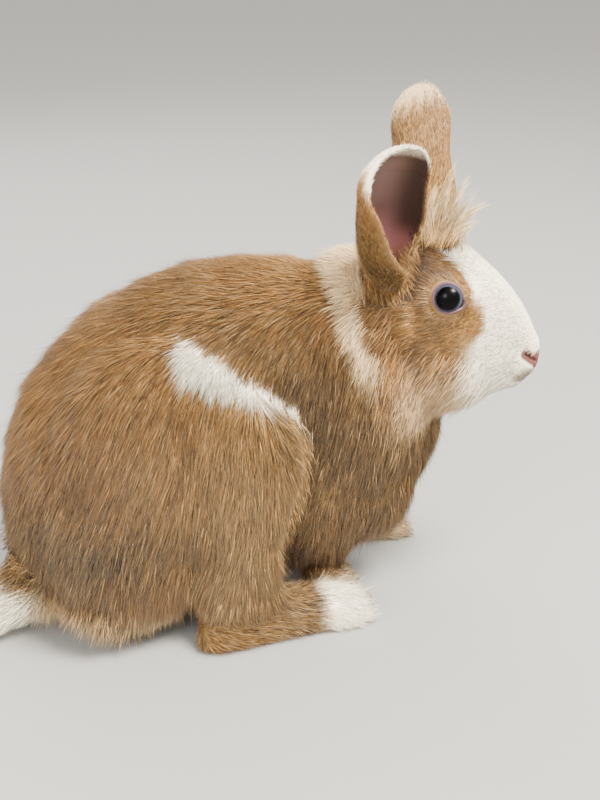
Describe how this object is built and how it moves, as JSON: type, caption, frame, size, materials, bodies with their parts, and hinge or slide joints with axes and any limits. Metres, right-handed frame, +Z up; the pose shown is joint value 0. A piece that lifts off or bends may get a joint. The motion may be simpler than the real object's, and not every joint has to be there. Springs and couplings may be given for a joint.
{
  "type": "rabbit model",
  "caption": "Life-size still model of a sitting lionhead rabbit: maned neck, upright ears, head turned to its right, long hind feet and a short tail on the floor.",
  "frame": {"origin": "middle of the model's footprint box, on the floor that it sits on", "axes": "+X from tail to nose, +Y to the rabbit's left, +Z up"},
  "size_m": [0.2524, 0.121, 0.234],
  "materials": {
    "fawn_coat": "fawn fur",
    "cream_coat": "cream fur",
    "white_coat": "white fur",
    "ear_skin": "thin haired skin",
    "nose_skin": "bare skin",
    "eye": "wet and glossy",
    "claw": "horn"
  },
  "bodies": {
    "root": {"torso": "fawn_coat", "neck": "cream_coat", "head": "fawn_coat", "ear_right": "ear_skin", "ear_left": "ear_skin", "eye_right": "eye", "eye_left": "eye", "haunch_right": "fawn_coat", "haunch_left": "fawn_coat", "hind_foot_right": "cream_coat", "hind_foot_left": "cream_coat", "fore_leg_right": "fawn_coat", "fore_leg_left": "fawn_coat", "fore_paw_right": "cream_coat", "fore_paw_left": "cream_coat", "tail": "white_coat"}
  },
  "joints": []
}
